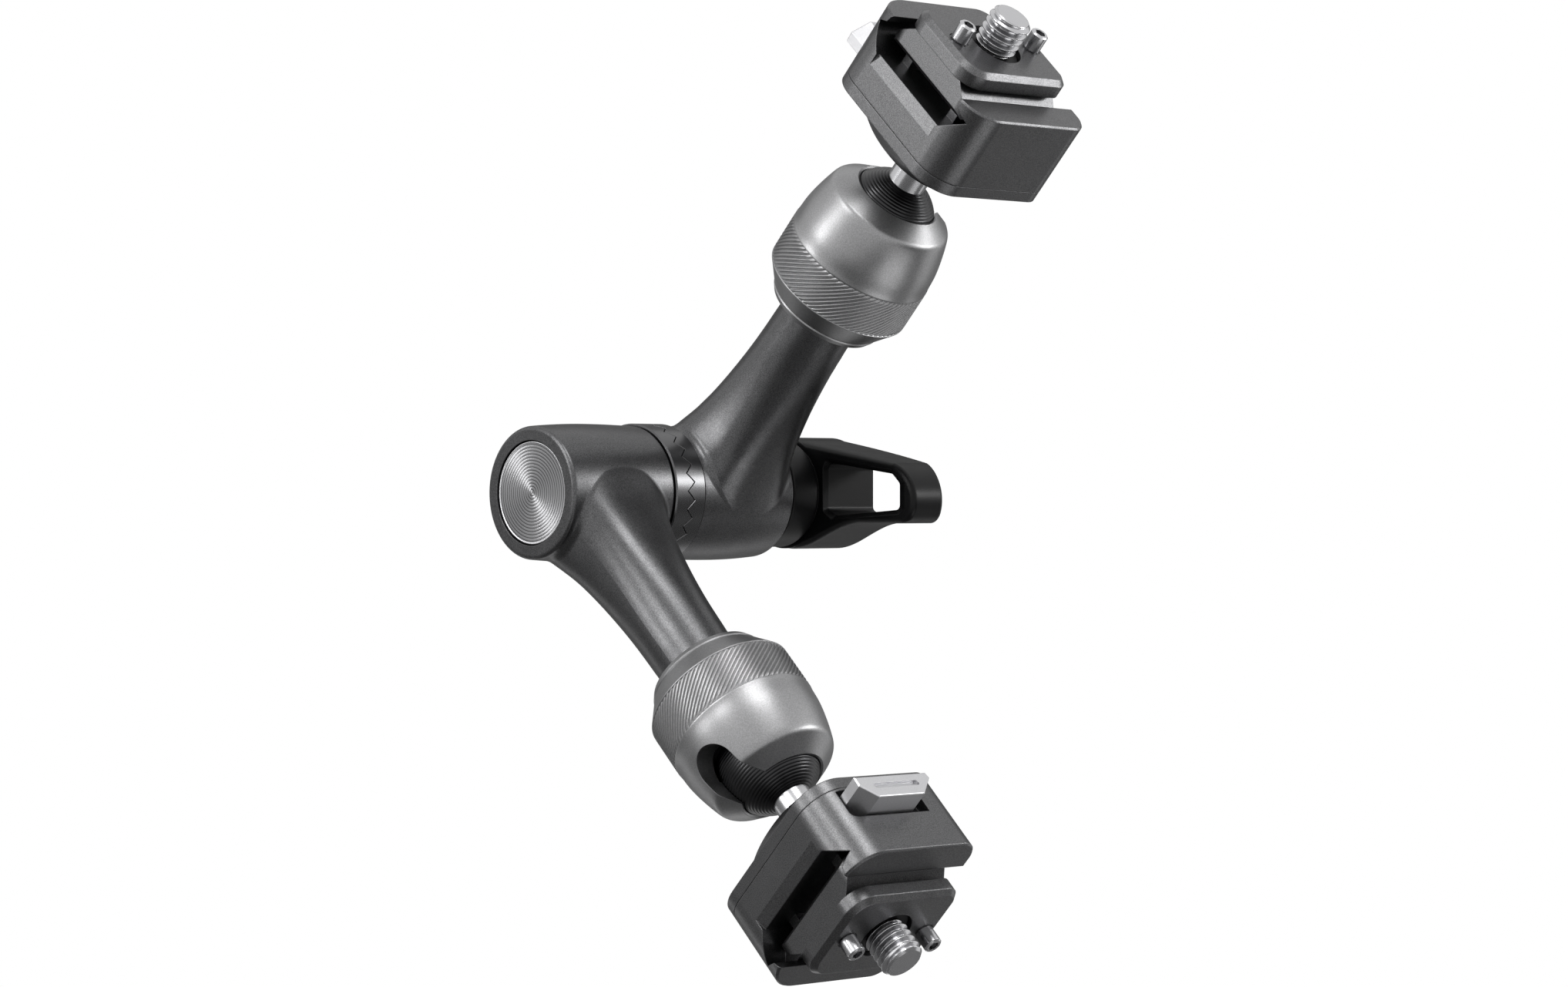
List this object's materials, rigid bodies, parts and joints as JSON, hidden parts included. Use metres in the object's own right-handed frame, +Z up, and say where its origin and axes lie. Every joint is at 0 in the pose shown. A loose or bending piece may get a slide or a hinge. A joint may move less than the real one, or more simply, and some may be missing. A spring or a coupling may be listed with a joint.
{
  "type": "articulating friction arm",
  "caption": "Folding friction arm: arms joined by a toothed hub with a locking lever, each ending in a collar-locked ball joint and a quick-release clamp with screw and locating pins.",
  "frame": {"origin": "centre of the lower plate's seat, where the lower mounting screw leaves it", "axes": "+X along the hub axis from the cap to the lever, +Z up the open V of the arms, arms open towards -Y"},
  "size_m": [0.0969, 0.1226, 0.2099],
  "materials": {
    "arm": "satin, blasted and anodised black",
    "rosette": "satin, blackened",
    "cap": "spun",
    "steel": "blackened",
    "spring_steel": "bright",
    "bush": "turned",
    "washer": "matte black",
    "lever": "satin black",
    "collar": "blasted and anodised grey",
    "ball": "turned, anodised black",
    "bright": "polished stainless",
    "cup": "matte",
    "clamp": "blasted and anodised dark grey",
    "plate": "blasted and anodised dark grey",
    "latch": "bright anodised",
    "clip": "blackened"
  },
  "bodies": {
    "lower_plate": {"lower_release_plate": "plate", "lower_pin_front": "bright", "lower_pin_back": "bright"},
    "lower_screw": {"lower_mount_screw": "bright", "lower_screw_clip": "clip"},
    "lower_clamp": {"lower_clamp_body": "clamp", "lower_clamp_cover": "clamp", "lower_cover_screw_a": "steel", "lower_cover_screw_b": "steel", "lower_cover_screw_c": "steel", "lower_cover_screw_d": "steel"},
    "lower_latch": {"lower_latch_tab": "latch", "lower_latch_spring": "spring_steel"},
    "lower_ball": {"lower_ball": "ball", "lower_stem": "bright", "lower_stem_screw": "steel"},
    "lower_collar": {"lower_collar_sleeve": "collar", "lower_collar_nut": "collar"},
    "upper_plate": {"upper_release_plate": "plate", "upper_pin_front": "bright", "upper_pin_back": "bright"},
    "upper_screw": {"upper_mount_screw": "bright", "upper_screw_clip": "clip"},
    "upper_clamp": {"upper_clamp_body": "clamp", "upper_clamp_cover": "clamp", "upper_cover_screw_a": "steel", "upper_cover_screw_b": "steel", "upper_cover_screw_c": "steel", "upper_cover_screw_d": "steel"},
    "upper_latch": {"upper_latch_tab": "latch", "upper_latch_spring": "spring_steel"},
    "upper_ball": {"upper_ball": "ball", "upper_stem": "bright", "upper_stem_screw": "steel"},
    "upper_collar": {"upper_collar_sleeve": "collar", "upper_collar_nut": "collar"},
    "lower_arm": {"lower_arm": "arm", "lower_rosette": "rosette", "hub_cap": "cap", "hub_bolt": "steel", "hub_spring": "spring_steel", "lower_ball_cup": "cup", "lower_cup_washer": "spring_steel"},
    "hub_bush": {"hub_bush": "bush"},
    "upper_arm": {"upper_arm": "arm", "upper_rosette": "rosette", "thrust_washer": "washer", "upper_ball_cup": "cup", "upper_cup_washer": "spring_steel"},
    "lever": {"lever_handle": "lever", "lever_nut": "steel"}
  },
  "joints": [
    {"name": "lower_screw_turn", "type": "hinge", "parent": "lower_plate", "child": "lower_screw", "pos_m": [0, 0, 0], "axis": [0, -0.7242, -0.6896], "continuous": true},
    {"name": "lower_clamp_slide", "type": "slide", "parent": "lower_plate", "child": "lower_clamp", "axis": [1, 0, 0], "range_m": [-0.012, 0.012]},
    {"name": "lower_latch_pull", "type": "slide", "parent": "lower_clamp", "child": "lower_latch", "axis": [0, -0.6896, 0.7242], "range_m": [0, 0.0018], "stiffness_N_per_m": 400, "springref_m": -0.003},
    {"name": "lower_stem_swivel", "type": "hinge", "parent": "lower_clamp", "child": "lower_ball", "pos_m": [0, 0.03564, 0.03394], "axis": [0, -0.7242, -0.6896], "continuous": true},
    {"name": "lower_ball_tilt", "type": "hinge", "parent": "lower_ball", "child": "lower_collar", "pos_m": [0, 0.03564, 0.03394], "axis": [0, -0.6896, 0.7242], "range_deg": [-30, 75]},
    {"name": "lower_collar_turn", "type": "hinge", "parent": "lower_collar", "child": "lower_arm", "pos_m": [0, 0.05302, 0.05049], "axis": [0, -0.7242, -0.6896], "continuous": true},
    {"name": "hub_release", "type": "slide", "parent": "lower_arm", "child": "hub_bush", "axis": [1, 0, 0], "range_m": [0, 0.0026]},
    {"name": "hub_turn", "type": "hinge", "parent": "hub_bush", "child": "upper_arm", "pos_m": [0.019, 0.09647, 0.09187], "axis": [1, 0, 0], "continuous": true},
    {"name": "lever_turn", "type": "hinge", "parent": "upper_arm", "child": "lever", "pos_m": [0.069, 0.09647, 0.09187], "axis": [1, 0, 0], "continuous": true},
    {"name": "upper_collar_turn", "type": "hinge", "parent": "upper_arm", "child": "upper_collar", "pos_m": [0.038, 0.0551, 0.13532], "axis": [0, -0.6896, 0.7242], "continuous": true},
    {"name": "upper_ball_tilt", "type": "hinge", "parent": "upper_collar", "child": "upper_ball", "pos_m": [0.038, 0.03855, 0.1527], "axis": [0, 0.7242, 0.6896], "range_deg": [-30, 75]},
    {"name": "upper_stem_swivel", "type": "hinge", "parent": "upper_ball", "child": "upper_clamp", "pos_m": [0.038, 0.03855, 0.1527], "axis": [0, -0.6896, 0.7242], "continuous": true},
    {"name": "upper_latch_pull", "type": "slide", "parent": "upper_clamp", "child": "upper_latch", "axis": [0, 0.7242, 0.6896], "range_m": [0, 0.0018], "stiffness_N_per_m": 400, "springref_m": -0.003},
    {"name": "upper_plate_slide", "type": "slide", "parent": "upper_clamp", "child": "upper_plate", "axis": [1, 0, 0], "range_m": [-0.012, 0.012]},
    {"name": "upper_screw_turn", "type": "hinge", "parent": "upper_plate", "child": "upper_screw", "pos_m": [0.038, 0.0046, 0.18835], "axis": [0, -0.6896, 0.7242], "continuous": true}
  ]
}
